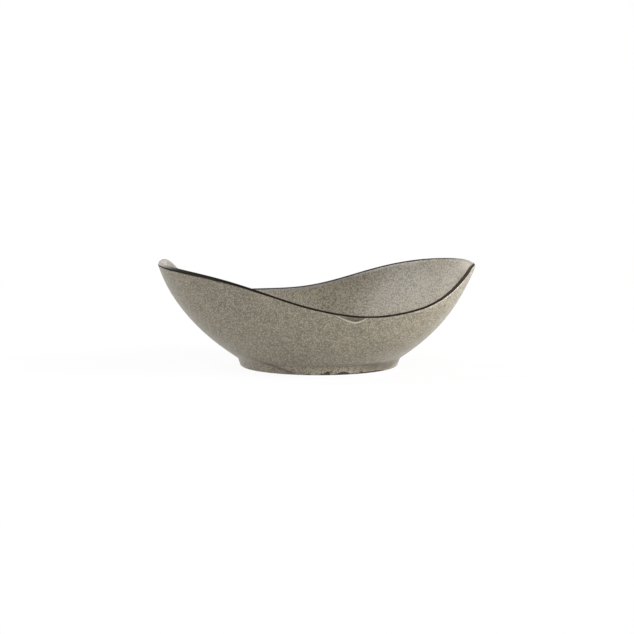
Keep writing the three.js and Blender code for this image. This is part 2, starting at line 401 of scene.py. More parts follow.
def dent(marks, along, below):
    """Crescent dent under the dark band: its depth, a mask of painted shade in its hollow, and a mask of
    painted highlight along its edge.

    Its lower edge lies at drop times 1 - |along / reach| to a power. The hollow deepens from the band to
    that edge, then steps out to a rolled bead that fades just below it.
    """
    left_power = 1.5
    right_power = 1.6
    edge_step = 0.35 * MILLIMETRE
    roll_width = 0.5 * MILLIMETRE
    hollow_end = 0.35
    roll_end = 0.25
    mask_end = 0.2
    shade_start = -0.75
    shade_end = -0.1
    least_highlight = 0.4
    offset = along - marks.dent_place
    left = np.clip(-offset / marks.dent_left, 0.0, 1.0) ** left_power
    right = np.clip(offset / marks.dent_right, 0.0, 1.0) ** right_power
    height = 1 - left - right
    edge = marks.dent_drop * height
    inside = soft_step(0.0, 1.0, below / np.maximum(edge, edge_step))
    past = below - edge
    hollow = inside * (1 - soft_step(-edge_step, 0.0, past)) * soft_step(0.0, hollow_end, height)
    roll = np.exp(-((past - roll_width / 2) / roll_width) ** 2) * soft_step(0.0, roll_end, height)
    # Painted shade in the hollow, fading out towards the left end, and painted highlight along the rolled
    # edge
    shaded = soft_step(shade_start, shade_end, offset / marks.dent_left)
    mask = soft_step(0.0, mask_end, height) * (1 - soft_step(-edge_step, edge_step / 2, past)) * shaded
    bead = roll * (least_highlight + (1 - least_highlight) * shaded)
    return marks.dent_depth * hollow - marks.dent_roll * roll, mask, bead


# Chips in the glaze line at the front of the foot: angle and half width in degrees, and height
CHIPS = (
    (262.0, 2.2, 0.0009),
    (272.4, 1.2, 0.0008),
    (274.6, 1.1, 0.0020),
    (276.4, 1.2, 0.0025),
    (287.5, 4.6, 0.0019),
    (294.5, 0.9, 0.0007),
    (301.5, 1.0, 0.0013),
    (312.0, 14.0, 0.0010),
)


def chips(angle):
    """Extra height of the glaze line: flat-topped bells, each with the fourth power of the way out."""
    flatness = 4
    total = 0.0
    for middle, half_width, height in CHIPS:
        away = angle_from(angle, math.radians(middle)) / math.radians(half_width)
        total = total + height * np.exp(-away ** flatness)
    return total


def dip_line(angle, height):
    """Mask of a soft dark line: a bell across a line that falls across the crease to the foot."""
    start = math.radians(223)
    end = math.radians(255)
    high = 11.5 * MILLIMETRE
    width = 1.4 * MILLIMETRE
    rise = (-0.3, 0.2)
    fall = (0.85, 1.05)
    part = (angle - start) / (end - start)
    across = np.exp(-((height - high * (1 - part)) / width) ** 2)
    return across * stretch(part, rise, fall)


def dark_margin(angle, below):
    """Mask of band colour carried below the band at the left of the front."""
    reach = 0.7 * MILLIMETRE
    full_share = 0.75
    rise = (190, 208)
    fall = (228, 246)
    return stretch(np.degrees(angle), rise, fall) * (1 - soft_step(full_share * reach, reach, below))


def lip_patch(angle, run, patch):
    """Mask of a painted patch inside the lip: a bell round the oval that fades away from the band."""
    middle, spread, start, end, level = patch
    return level * bell_at(angle, (middle, spread)) * (1 - soft_step(start, end, run))


# Meshes

def focused_angles(count, focus, spread, gain):
    """Angles round the oval, closer together near one place: equal steps of a density with one bell."""
    fine = np.linspace(0.0, 2 * math.pi, DENSITY_STEPS)
    density = 1 + gain * bell(fine, focus, spread)
    total = np.concatenate(((0.0,), np.cumsum((density[1:] + density[:-1]) / 2)))
    steps = np.linspace(0.0, total[-1], count, endpoint=False)
    return np.interp(steps, total, fine)[:, None]


def even_angles(count):
    """Even angles round the oval, as a column."""
    return np.linspace(0.0, 2 * math.pi, count, endpoint=False)[:, None]


def grid_quads(angle_count, row_count, closed):
    """Corner numbers of the quads of a grid that closes round the oval, and across its rows if asked."""
    row = np.arange(row_count if closed else row_count - 1)[None, :]
    here = np.arange(angle_count)[:, None] * row_count
    ahead = (np.arange(angle_count)[:, None] + 1) % angle_count * row_count
    after = (row + 1) % row_count
    quads = np.stack(np.broadcast_arrays(here + row, ahead + row, ahead + after, here + after), axis=-1)
    return quads.reshape(-1, 4)


def pole_fans(angle_count, row_count):
    """Corner numbers of the triangles that close the first and the last row on two added middle points."""
    first_pole = angle_count * row_count
    here = np.arange(angle_count) * row_count
    ahead = (np.arange(angle_count) + 1) % angle_count * row_count
    first = np.stack((np.full(angle_count, first_pole), ahead, here), axis=-1)
    last_row = row_count - 1
    last = np.stack((here + last_row, ahead + last_row, np.full(angle_count, first_pole + 1)), axis=-1)
    return np.concatenate((first, last))


def piece_mesh(name, rows, poles=None, masks=None):
    """Mesh of a closed body carried round the oval, from rows[angle, row] and, if it has them, two poles."""
    angle_count, row_count = rows.shape[:2]
    vertices = rows.reshape(-1, 3)
    faces = grid_quads(angle_count, row_count, poles is None).tolist()
    pole_count = 0
    if poles is not None:
        vertices = np.concatenate((vertices, poles))
        faces += pole_fans(angle_count, row_count).tolist()
        pole_count = len(poles)
    mesh = bpy.data.meshes.new(name)
    mesh.from_pydata(vertices.tolist(), [], faces)
    for mask_name, mask in (masks or {}).items():
        values = np.concatenate((np.broadcast_to(mask, rows.shape[:2]).ravel(), np.zeros(pole_count)))
        attribute = mesh.attributes.new(mask_name, "FLOAT", "POINT")
        attribute.data.foreach_set("value", values.astype(np.float32))
    mesh.shade_smooth()
    mesh.set_sharp_from_angle(angle=SHARP_ANGLE)
    mesh.validate()
    return mesh


def place_piece(name, mesh, material, node):
    """Puts a piece in the scene at the origin, on the bowl's body, in place of its solid."""
    piece = bpy.data.objects.new(name, mesh)
    mesh.materials.append(material)
    bpy.context.scene.collection.objects.link(piece)
    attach(piece, ROOT_BODY)
    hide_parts(node)


def there_and_back(face, underside):
    """One loop of rows: along a coat's face and back along its underside."""
    return np.concatenate((face, underside[:, ::-1]), axis=1)


def run_from(rows, first):
    """Length of the surface between a row and the first row, or the last row, at every point."""
    steps = np.linalg.norm(np.diff(rows, axis=1), axis=-1)
    run = np.concatenate((np.zeros((len(rows), 1)), np.cumsum(steps, axis=1)), axis=1)
    return run if first else run[:, -1:] - run


# Shapes of the pieces

def wall_rises():
    """Rows up the wall, closer together in the stretch under the lip."""
    lower = np.linspace(0.0, UPPER_WALL_START, LOWER_WALL_ROWS, endpoint=False)
    upper = np.linspace(UPPER_WALL_START, 1.0, UPPER_WALL_ROWS)
    return np.concatenate((lower, upper))[None, :]


def mark_angles(shape, marks):
    """Angles round the oval, closest together at the crescent dent in the front of the bowl."""
    focus = 2 * math.pi - math.acos(2 * marks.dent_place / shape.length)
    spread = 0.11
    gain = 9.0
    return focused_angles(MARK_ANGLE_COUNT, focus, spread, gain)


def band_turn(shape, marks, angle, inner):
    """Where the dark band's outer or inner edge lies on the lip's round, wandering a little.

    The outer edge goes from its place at the tips to its place at the sides with the eighth power of
    |sin(angle)|, and the inner edge with the square root of it.
    """
    if inner:
        widening = 2
        backness = (1 + np.sin(angle)) / 2
        point = bell(angle, shape.point_angle, widening * shape.point_spread)
        tip = shape.inner_tip_turn - shape.inner_point_turn * point
        side = shape.inner_front_turn + (shape.inner_back_turn - shape.inner_front_turn) * backness
        power = 0.5
        start = 2.0
    else:
        rightness = (1 + np.cos(angle)) / 2
        tip = shape.band_left_turn + (shape.band_right_turn - shape.band_left_turn) * rightness
        side = shape.band_side_turn
        power = 8
        start = 0.0
    turn = tip + (side - tip) * np.abs(np.sin(angle)) ** power + marks.band_wander * wander(angle, start)
    return np.maximum(turn, LEAST_TURN)


def band_turns(shape, marks, angle, across):
    """Places on the lip's round at shares of the way across the dark band."""
    start = band_turn(shape, marks, angle, False)
    end = band_turn(shape, marks, angle, True)
    return start + (end - start) * across


def foot_angles():
    """Angles round the foot, closest together at the chips in the front of its glaze line."""
    focus = math.radians(284)
    spread = 0.4
    gain = 6.0
    return focused_angles(MARK_ANGLE_COUNT, focus, spread, gain)


def crease_fill(shape, marks, angle, run):
    """Glaze pooled in the crease: a push along the corner's halving line, times (1 - run / reach) squared."""
    wall_outward = wall_directions(shape, angle, 0.0)[1]
    halfway = unit(wall_outward + foot_outward(shape, angle))
    push = marks.crease_fill * np.clip(1 - run / marks.crease_reach, 0.0, 1.0) ** 2
    return halfway * push[..., None]


def outside_rows(shape, marks, angle, depth):
    """Outside from the crease to the dark band, at a depth, with ripple, dent and crease fill."""
    front_blend = 10 * MILLIMETRE
    crease_settle = 4 * MILLIMETRE
    band_settle = 3 * MILLIMETRE
    pool_shade_reach = 6.5 * MILLIMETRE
    least_pool_shade = 0.5
    more_pool_shade = 2.0
    rise = wall_rises()
    turn = np.linspace(0.0, 1.0, LIP_EDGE_ROWS)[None, 1:] * band_turn(shape, marks, angle, False)
    plain = np.concatenate((outer_wall(shape, angle, rise), lip_point(shape, angle, turn, 0.0)), axis=1)
    run_up = run_from(plain, True)
    below = run_from(plain, False)
    front = soft_step(0.0, -front_blend, plain[..., 1])
    dented, hollow, bead = dent(marks, plain[..., 0], below)
    settle = soft_step(0.0, crease_settle, run_up) * soft_step(0.0, band_settle, below)
    inward = depth + dented * front - ripple(marks, plain) * settle
    wall_rows = rise.shape[1]
    wall = outer_point(shape, angle, rise, inward[:, :wall_rows])
    lip = lip_point(shape, angle, turn, inward[:, wall_rows:])
    # Masks: pooled glaze with painted shade by the crease, strongest at the right of the front; a dark
    # diagonal line; painted shade in the dent's hollow and painted highlight along its edge; band colour
    # below the band
    pool_shade = least_pool_shade + more_pool_shade * bell_at(angle, CREASE_POOL_SHADE)
    masks = {
        "crease_pool": (1 - soft_step(0.0, pool_shade_reach, run_up)) * pool_shade,
        "dip_line": dip_line(angle, plain[..., 2]),
        "hollow": hollow * front,
        "bead": bead * front,
        "margin": dark_margin(angle, below),
    }
    return np.concatenate((wall, lip), axis=1) + crease_fill(shape, marks, angle, run_up), masks


def outside_glaze_mesh(shape, marks):
    """Speckled coat on the outside: the outer surface and the same surface one glaze thickness in."""
    angle = mark_angles(shape, marks)
    face, masks = outside_rows(shape, marks, angle, 0.0)
    underside = outside_rows(shape, marks, angle, shape.glaze)[0]
    both = {name: there_and_back(mask, mask) for name, mask in masks.items()}
    return piece_mesh("outside_glaze", there_and_back(face, underside), masks=both)


def inside_rows(shape, marks, angle, depth):
    """Inside of the bowl from the dark band to next to the middle of the floor, at a depth."""
    band_settle = 4 * MILLIMETRE
    middle_settle = 10 * MILLIMETRE
    edge = band_turn(shape, marks, angle, True)
    turn = edge + (math.pi - edge) * np.linspace(0.0, 1.0, LIP_INSIDE_ROWS)[None, :-1]
    lip = lip_point(shape, angle, turn, depth)
    rise = np.linspace(1.0, 0.0, INSIDE_ROWS)[None, :]
    wall = inner_point(shape, angle, rise, depth)
    reach = np.linspace(1.0, 0.0, FLOOR_ROWS)[None, 1:-1]
    floor = floor_point(shape, angle, reach, depth)
    inside = np.concatenate((lip, wall, floor), axis=1)
    settle = soft_step(0.0, band_settle, run_from(inside, True))
    settle = settle * soft_step(0.0, middle_settle, run_from(inside, False))
    inside[..., 2] += ripple(marks, inside) * settle
    return inside


def floor_middle(shape, depth):
    """Middle point of the floor at a depth."""
    return (shape.foot_offset, 0.0, shape.foot_height + shape.floor_thickness - shape.glaze - depth)


def inside_glaze_mesh(shape, marks):
    """Speckled coat on the inside: from the underside's middle out to the lip and back over the face."""
    strip_level = 0.75
    strip_run = (1.5 * MILLIMETRE, 3 * MILLIMETRE)
    angle = even_angles(PLAIN_ANGLE_COUNT)
    face = inside_rows(shape, marks, angle, 0.0)
    underside = inside_rows(shape, marks, angle, shape.glaze)
    rows = np.concatenate((underside[:, ::-1], face), axis=1)
    poles = np.array((floor_middle(shape, shape.glaze), floor_middle(shape, 0.0)))
    run = run_from(face, True)
    tip = lip_patch(angle, run, LEFT_TIP_SHEEN)
    strip = strip_level * (1 - soft_step(*strip_run, run)) * (1 - bell_at(angle, STRIP_GAP))
    masks = {
        # Painted light: the whole inside lighter, and the inside of the left tip more so as a painted
        # reflection
        "lift": 1 + tip,
        # Painted sheen inside the lip: at the left tip, at the front, and in a strip along the band save at
        # the back right
        "milky": np.maximum(tip, strip) + lip_patch(angle, run, FRONT_SHEEN),
        # Darker patch inside the left tip
        "crease_pool": lip_patch(angle, run, LEFT_DARK_PATCH),
        # Painted highlight inside the right tip
        "bead": lip_patch(angle, run, RIGHT_SHINE),
    }
    both = {name: np.concatenate((mask[:, ::-1], mask), axis=1) for name, mask in masks.items()}
    return piece_mesh("inside_glaze", rows, poles, both)


def painted_band_sheen(angle, across):
    """Mask of painted highlight and reflection on the band: behind the right tip, on the left tip's crest,
    and faintly at the back.
    """
    right_rise = (-1, 5)
    right_fall = (18, 27)
    left_rise = (140, 165)
    left_fall = (192, 213)
    left_crest = (0.18, 0.32)
    back_rise = (50, 90)
    back_level = 0.12
    degrees = np.degrees(angle_from(angle, 0.0))
    right = stretch(degrees, right_rise, right_fall)
    left = stretch(degrees % 360, left_rise, left_fall) * soft_step(*left_crest, across)
    back = back_level * soft_step(*back_rise, degrees)
    return right + left + back


def rim_band_mesh(shape, marks):
    """Dark coat over the lip's crest, between the two wandering edges, with masks of its browner crest at the
    right tip and of its painted highlights.
    """
    tip_rise = (0.5, 0.85)
    crest_rise = (0.12, 0.35)
    angle = mark_angles(shape, marks)
    across = np.linspace(0.0, 1.0, LIP_ROWS)[None, :]
    turn = band_turns(shape, marks, angle, across)
    face = lip_point(shape, angle, turn, 0.0)
    underside = lip_point(shape, angle, turn, shape.glaze)
    right_crest = soft_step(*tip_rise, np.cos(angle)) * soft_step(*crest_rise, across)
    masks = {
        "crest": there_and_back(right_crest, right_crest),
        "worn": painted_band_sheen(angle, np.concatenate((across, across[:, ::-1]), axis=1)),
    }
    return piece_mesh("lip_band", there_and_back(face, underside), masks=masks)


def foot_glaze_mesh(shape, marks):
    """Coat round the foot: from the crease down to a wandering glaze line, with a rounded lower edge."""
    line_start = 1.0
    least_pool_shade = 0.2
    more_pool_shade = 1.7
    brightness = 2.4
    angle = foot_angles()
    line = shape.bare_edge + marks.glaze_wander * wander(angle, line_start) + chips(angle)
    down = np.linspace(0.0, 1.0, FOOT_ROWS)[None, :]
    height = shape.foot_height + (line - shape.foot_height) * down
    side = foot_point(shape, angle, height, foot_taper(shape, height))
    run = run_from(side, True)
    face = side + crease_fill(shape, marks, angle, run)
    corner = np.linspace(0.0, math.pi / 2, CORNER_ROWS)[None, 1:]
    low = line - shape.glaze * np.sin(corner)
    roll = foot_point(shape, angle, low, foot_taper(shape, low) + shape.glaze * (1 - np.cos(corner)))
    back = foot_point(shape, angle, height, foot_taper(shape, height) + shape.glaze)
    rows = np.concatenate((back, roll[:, ::-1], face[:, ::-1]), axis=1)
    # Pooled glaze with painted shade by the crease, reaching furthest down at the right of the front
    pooled_shaded = bell_at(angle, CREASE_POOL_SHADE)
    pool_shade_start = 3 * MILLIMETRE * pooled_shaded
    pool_shade_end = 3.5 * MILLIMETRE + 5 * MILLIMETRE * pooled_shaded
    pool_shade = (1 - soft_step(pool_shade_start, pool_shade_end, run)) * (least_pool_shade + more_pool_shade * pooled_shaded)
    no_pool_shade = np.zeros(roll.shape[:2])
    masks = {
        "crease_pool": np.concatenate((pool_shade, no_pool_shade, pool_shade[:, ::-1]), axis=1),
        "dip_line": dip_line(angle, rows[..., 2]),
        # Painted light: the foot lighter away from the crease
        "lift": brightness * (1 - pooled_shaded),
    }
    return piece_mesh("foot_coat", rows, masks=masks)


def recess_glaze_mesh(shape, marks):
    """Coat on the ceiling of the recess: two ovals of spokes, the lower one rippled inside its edge."""
    calm_edge = 0.8
    angle = even_angles(PLAIN_ANGLE_COUNT)
    reach = np.linspace(0.0, 1.0, FLOOR_ROWS)[None, 1:]
    rim = foot_point(shape, angle, shape.foot_height, shape.ring_width + shape.recess_draft)
    middle = np.array((shape.foot_offset, 0.0, shape.foot_height))
    ceiling = middle + (rim - middle) * reach[..., None]
    face = ceiling - np.array((0.0, 0.0, shape.glaze))
    face[..., 2] += ripple(marks, face) * soft_step(1.0, calm_edge, reach)
    rows = np.concatenate((face, ceiling[:, ::-1]), axis=1)
    poles = np.array((middle - np.array((0.0, 0.0, shape.glaze)), middle))
    return piece_mesh("recess_coat", rows, poles)


def clay_skin(shape):
    """How far the clay lies below the surface: just under the glaze."""
    gap = 0.05 * MILLIMETRE
    return shape.glaze + gap


def clay_body_mesh(shape, marks):
    """Clay body: underside, outside, lip, inside and floor, all just under the glaze."""
    angle = mark_angles(shape, marks)
    skin = clay_skin(shape)
    outside = outside_rows(shape, marks, angle, skin)[0]
    across = np.linspace(0.0, 1.0, LIP_ROWS)[None, 1:-1]
    lip = lip_point(shape, angle, band_turns(shape, marks, angle, across), skin)
    inside = inside_rows(shape, marks, angle, skin)
    under_edge = foot_point(shape, angle, shape.foot_height, skin)
    under_inner = foot_point(shape, angle, shape.foot_height, shape.ring_width)
    rows = np.concatenate((under_inner, under_edge, outside[:, 1:], lip, inside), axis=1)
    poles = np.array(((shape.foot_offset, 0.0, shape.foot_height), floor_middle(shape, skin)))
    return piece_mesh("clay_body", rows, poles)


def quarter_round(shape, angle, height, inset, radius, start):
    """Rounded corner of the foot ring: a quarter circle round a point at a height and an inset."""
    corner = start + np.linspace(0.0, math.pi / 2, CORNER_ROWS)[None, :]
    return foot_point(shape, angle, height + radius * np.sin(corner), inset - radius * np.cos(corner))


def clay_foot_mesh(shape, marks):
    """Clay ring: down the recess, round the inner corner, over the standing edge and up the outside."""
    angle = foot_angles()
    skin = clay_skin(shape)
    corner = shape.edge_round
    recess_top = foot_point(shape, angle, shape.foot_height, shape.ring_width + shape.recess_draft)
    inner = quarter_round(shape, angle, corner, shape.ring_width - corner, corner, math.pi)
    outer_inset = skin + foot_taper(shape, corner) + corner
    outer = quarter_round(shape, angle, corner, outer_inset, corner, 1.5 * math.pi)
    top = foot_point(shape, angle, shape.foot_height, skin)
    rows = np.concatenate((recess_top, inner, outer, top), axis=1)
    # Painted light: paler clay at the left of the standing edge
    return piece_mesh("clay_foot", rows, masks={"rubbed": bell_at(angle, LIT_CLAY)})


# Finishes

class Shade:
    """One output socket of a node tree, with arithmetic that adds Math nodes."""

    def __init__(self, tree, socket=None):
        self.tree = tree
        self.socket = socket

    def node(self, kind, settings=None, inputs=None, output=0):
        """Adds a node: its settings first, then the values or links of its sockets."""
        made = self.tree.nodes.new(kind)
        for name, value in (settings or {}).items():
            setattr(made, name, value)
        for name, value in (inputs or {}).items():
            socket = made.inputs[name]
            if isinstance(value, Shade):
                self.tree.links.new(value.socket, socket)
            else:
                socket.default_value = value
        return Shade(self.tree, made.outputs[output])

    def math(self, operation, first, second, clamp=False):
        """Adds one Math node."""
        settings = {"operation": operation, "use_clamp": clamp}
        return self.node("ShaderNodeMath", settings, {0: first, 1: second})

    def __add__(self, other):
        return self.math("ADD", self, other)

    __radd__ = __add__

    def __sub__(self, other):
        return self.math("SUBTRACT", self, other)

    def __rsub__(self, other):
        return self.math("SUBTRACT", other, self)

    def __mul__(self, other):
        return self.math("MULTIPLY", self, other)

    def clamped(self):
        """The value held between 0 and 1."""
        return self.math("ADD", self, 0.0, clamp=True)

    def ramp(self, low, high):
        """0 at low, 1 at high, smooth between them."""
        inputs = {"Value": self, "From Min": low, "From Max": high}
        return self.node("ShaderNodeMapRange", {"interpolation_type": "SMOOTHSTEP"}, inputs)

    def mix(self, first, second):
        """Colour between two colours, by this value."""
        settings = {"data_type": "RGBA", "clamp_factor": True}
        inputs = {0: self, 6: opaque(first), 7: opaque(second)}
        return self.node("ShaderNodeMix", settings, inputs, output=2)


def opaque(value):
    """A colour property as four numbers, or a link as it is."""
    return value if isinstance(value, Shade) else (*value, 1.0)


def new_finish(name):
    """Node material, with its tree's first handle, its shader and the place on the piece."""
    material = bpy.data.materials.new(name)
    material.use_nodes = True
    start = Shade(material.node_tree)
    where = start.node("ShaderNodeTexCoord", None, None, output="Object")
    return material, start, start.tree.nodes["Principled BSDF"], where


def feed(shader, name, value):
    """Links a value to a shader's socket."""
    value.tree.links.new(value.socket, shader.inputs[name])


def grain(where, width, detail=2.0):
    """Noise with grains of about a width."""
    roughness = 0.55
    inputs = {"Vector": where, "Scale": 1.0 / width, "Detail": detail, "Roughness": roughness}
    return where.node("ShaderNodeTexNoise", None, inputs)


def specks(where, cell, radius):
    """Round specks: near the points of a scattered lattice, in cells of a size."""
    core = 0.45
    inputs = {"Vector": where, "Scale": 1.0 / cell}
    distance = where.node("ShaderNodeTexVoronoi", {"feature": "F1"}, inputs, output="Distance")
    return 1 - distance.ramp(radius * core, radius)


def roughen(shader, fine, least, more, relief):
    """Feeds a grain to a shader's roughness, from a least value up, and to its normal as a fine relief."""
    feed(shader, "Roughness", least + fine * more)
    inputs = {"Height": fine, "Distance": relief, "Strength": 1.0}
    feed(shader, "Normal", fine.node("ShaderNodeBump", None, inputs, output="Normal"))


def mask_of(start, name):
    """A mask that the mesh carries."""
    return start.node("ShaderNodeAttribute", {"attribute_name": name}, None, output="Fac")


def speckled_glaze(look):
    """Satin grey-beige glaze: fine specks over soft clouds, under the marks that the mesh carries, painted
    light and shade among them.
    """
    fine_share = 0.40
    speck_share = 0.62
    patch_share = 0.16
    cloud_share = 0.10
    lift_gain = 0.8
    lift_drop = 0.21
    pool_shade_level = 0.25
    pool_shade_cloud = 0.4
    hollow_level = 0.3
    hollow_shadow = 0.28
    line_level = 0.85
    highlight_level = 0.9
    lip_sheen_level = 0.7
    material, start, shader, where = new_finish("satin_speckle")
    fine = grain(where, width=1.3 * MILLIMETRE)
    grains = fine.ramp(low=0.34, high=0.66)
    patch = grain(where, width=5 * MILLIMETRE).ramp(low=0.3, high=0.7)
    cloud = grain(where, width=16 * MILLIMETRE, detail=3.0)
    dots = specks(where, cell=1.5 * MILLIMETRE, radius=0.52)
    speckle = grains * fine_share + dots * speck_share + patch * patch_share
    speckle = speckle + cloud.ramp(low=0.3, high=0.7) * cloud_share
    # Painted light: lighter, with more contrast, inside the bowl, more so inside the left tip, and on the
    # foot away from the crease
    speckle = speckle + mask_of(start, "lift") * (speckle * lift_gain - lift_drop)
    body = speckle.clamped().mix(look.dark_speck, look.pale_speck)
    pool_shade = mask_of(start, "crease_pool") * (pool_shade_level + cloud.ramp(low=0.35, high=0.65) * pool_shade_cloud)
    hollow = mask_of(start, "hollow") * (hollow_level + grains * (1 - hollow_level))
    line = mask_of(start, "dip_line") * line_level
    # Painted shade over the pooled glaze by the crease and in the dent's hollow, a dark diagonal line,
    # painted highlights, painted sheen inside the lip, and band colour below the band
    layers = (
        ((pool_shade + hollow + line).clamped(), look.pooled_shaded),
        (hollow * hollow_shadow, look.band),
        (mask_of(start, "bead") * highlight_level, look.bead),
        (mask_of(start, "milky") * lip_sheen_level, look.lip_sheen_colour),
        (mask_of(start, "margin"), look.band),
    )
    for amount, paint in layers:
        body = amount.mix(body, paint)
    feed(shader, "Base Color", body)
    roughen(shader, fine, least=0.3, more=0.16, relief=0.05 * MILLIMETRE)
    return material


def dark_band(look):
    """Near-black glaze with little shine, browner on the right tip's crest, with painted highlights and
    reflections where it is pale.
    """
    band_sheen_level = 0.9
    shine = 0.05
    material, start, shader, where = new_finish("dark_lip")
    fine = grain(where, width=1.6 * MILLIMETRE)
    body = mask_of(start, "crest").mix(look.band, look.band_tip)
    feed(shader, "Base Color", (mask_of(start, "worn") * band_sheen_level).mix(body, look.band_sheen))
    shader.inputs["Specular IOR Level"].default_value = shine
    roughen(shader, fine, least=0.3, more=0.12, relief=0.03 * MILLIMETRE)
    return material


def bare_clay(look):
    """Matt fired clay with sand grains, with painted light that makes it paler at one place of the standing
    edge.
    """
    sand_share = 0.6
    fine_share = 0.4
    ground = 0.1
    material, start, shader, where = new_finish("bare_stoneware")
    fine = grain(where, width=0.8 * MILLIMETRE, detail=4.0)
    sand = specks(where, cell=1.5 * MILLIMETRE, radius=0.3)
    body = (sand * sand_share + fine * fine_share - ground).clamped().mix(look.clay, look.clay_sand)
    feed(shader, "Base Color", mask_of(start, "rubbed").mix(body, look.clay_lit))
    roughen(shader, fine, least=0.75, more=0.2, relief=0.12 * MILLIMETRE)
    return material


FINISHES = {"satin_speckle": speckled_glaze, "dark_lip": dark_band, "bare_stoneware": bare_clay}


def finish(name):
    """A finish by name, made once."""
    return bpy.data.materials.get(name) or FINISHES[name](bpy.context.scene.bowl_look)


# Stage

FLOOR_REACH = 6.0
FLOOR_GREY = 0.8
FLOOR_NEAR = 0.2
FLOOR_FAR = 0.6
IMAGE_PIXELS = 634
SENSOR_WIDTH = 36.0
PIXELS_PER_METRE = 1206.8
AIM_HEIGHT = 0.045
FRAME_DROP = 0.00508
FRAME_SHIFT = 0.00115

# Soft lamps facing the bowl: the setting of their power, place, width, and whether the glaze mirrors them
LAMPS = {
    "right_softbox": ("right_lamp", (1.4, -0.2, 0.55), 1.2, True),
    "left_softbox": ("left_lamp", (-1.1, 0.6, 0.9), 1.0, False),
    "side_softbox": ("side_lamp", (-1.13, -0.95, 0.67), 0.5, True),
    "front_softbox": ("front_lamp", (0.4, -1.6, 1.3), 1.2, True),
}

# Upright cards that only the glaze mirrors: the setting of their level, and two opposite corners
CARDS = {
    "left_card": ("card_level", (-0.7, -1.2, 0.0), (-0.7, 0.1, 0.3)),
    "front_card": ("card_level", (-2.5, -2.6, 0.0), (2.5, -2.6, 2.6)),
    "far_sheen_card": ("far_sheen_level", (-1.4, 1.6, 0.27), (-1.05, 0.04, 0.86)),
    "near_sheen_card": ("near_sheen_level", (-1.05, 0.04, 0.27), (-0.82, -0.98, 1.1)),
    "tip_card": ("tip_level", (0.5, 1.9, 0.0), (1.6, 1.2, 0.5)),
}


def grey(level):
    """A grey level as a colour."""
    return (level, level, level, 1.0)


def blank_tree(owner):
    """First handle of the emptied node tree of a material or a world."""
    owner.use_nodes = True
    owner.node_tree.nodes.clear()
    return Shade(owner.node_tree)


def end_tree(shade, kind):
    """Ends a tree with a shade as its surface."""
    output = shade.tree.nodes.new(kind)
    shade.tree.links.new(shade.socket, output.inputs["Surface"])


def glowing(start, level):
    """Shader that gives off one grey level."""
    return start.node("ShaderNodeEmission", None, {"Color": grey(level), "Strength": 1.0})


def make_sheet(name, corners, material):
    """Flat sheet of the stage between four corners."""
    mesh = bpy.data.meshes.new(name)
    mesh.from_pydata(corners, [], [(0, 1, 2, 3)])
    mesh.materials.append(material)
    sheet = bpy.data.objects.new(name, mesh)
    bpy.context.scene.collection.objects.link(sheet)
    return sheet


def white_to_the_eye(start):
    """1 for camera, glossy and transmission rays, and 0 for the light that reaches surfaces."""
    path = start.tree.nodes.new("ShaderNodeLightPath")
    kinds = ("Is Camera Ray", "Is Glossy Ray", "Is Transmission Ray")
    camera, glossy, transmission = (Shade(start.tree, path.outputs[kind]) for kind in kinds)
    return (camera + glossy + transmission).clamped()


def make_floor(look):
    """Wide level floor, white to the camera, that keeps a faint shadow."""
    material = bpy.data.materials.new("studio_floor")
    start = blank_tree(material)
    plain = start.node("ShaderNodeBsdfDiffuse", None, {"Color": grey(FLOOR_GREY)})
    where = start.node("ShaderNodeTexCoord", None, None, output="Object")
    away = start.node("ShaderNodeVectorMath", {"operation": "LENGTH"}, {0: where}, output="Value")
    far_white = away.ramp(FLOOR_NEAR, FLOOR_FAR) * (1.0 - look.floor_glow) + look.floor_glow
    inputs = {0: white_to_the_eye(start) * far_white, 1: plain, 2: glowing(start, 1.0)}
    end_tree(start.node("ShaderNodeMixShader", None, inputs), "ShaderNodeOutputMaterial")
    corners = np.array(((-1, -1, 0), (1, -1, 0), (1, 1, 0), (-1, 1, 0)), dtype=float) * FLOOR_REACH
    make_sheet("studio_floor", corners.tolist(), material)


def make_sky(look):
    """Even light from all round, and plain white where the camera looks past the floor."""
    world = bpy.data.worlds.new("studio_sky")
    start = blank_tree(world)
    strength = white_to_the_eye(start) * (1.0 - look.sky) + look.sky
    background = start.node("ShaderNodeBackground", None, {"Color": grey(1.0), "Strength": strength})
    end_tree(background, "ShaderNodeOutputWorld")
    bpy.context.scene.world = world


def face_point(holder, target):
    """Turns a lamp or a camera to a point."""
    holder.rotation_euler = (Vector(target) - holder.location).to_track_quat("-Z", "Y").to_euler()


def make_lamp(name, power, place, width, mirrored):
    """Square soft lamp at a place, facing the bowl, which the glaze mirrors or not."""
    lamp = bpy.data.lights.new(name, "AREA")
    lamp.energy = power
    lamp.size = width
    holder = bpy.data.objects.new(name, lamp)
    holder.location = place
    holder.visible_glossy = mirrored
    face_point(holder, (0.0, 0.0, AIM_HEIGHT))
    bpy.context.scene.collection.objects.link(holder)


def make_card(name, level, low, high):
    """Upright card between two corners, which shows only in the glaze as a mirror image."""
    material = bpy.data.materials.new(name)
    end_tree(glowing(blank_tree(material), level), "ShaderNodeOutputMaterial")
    corners = (low, (*high[:2], low[2]), high, (*low[:2], high[2]))
    card = make_sheet(name, corners, material)
    card.visible_camera = False
    card.visible_diffuse = False
    card.visible_shadow = False
    card.visible_transmission = False


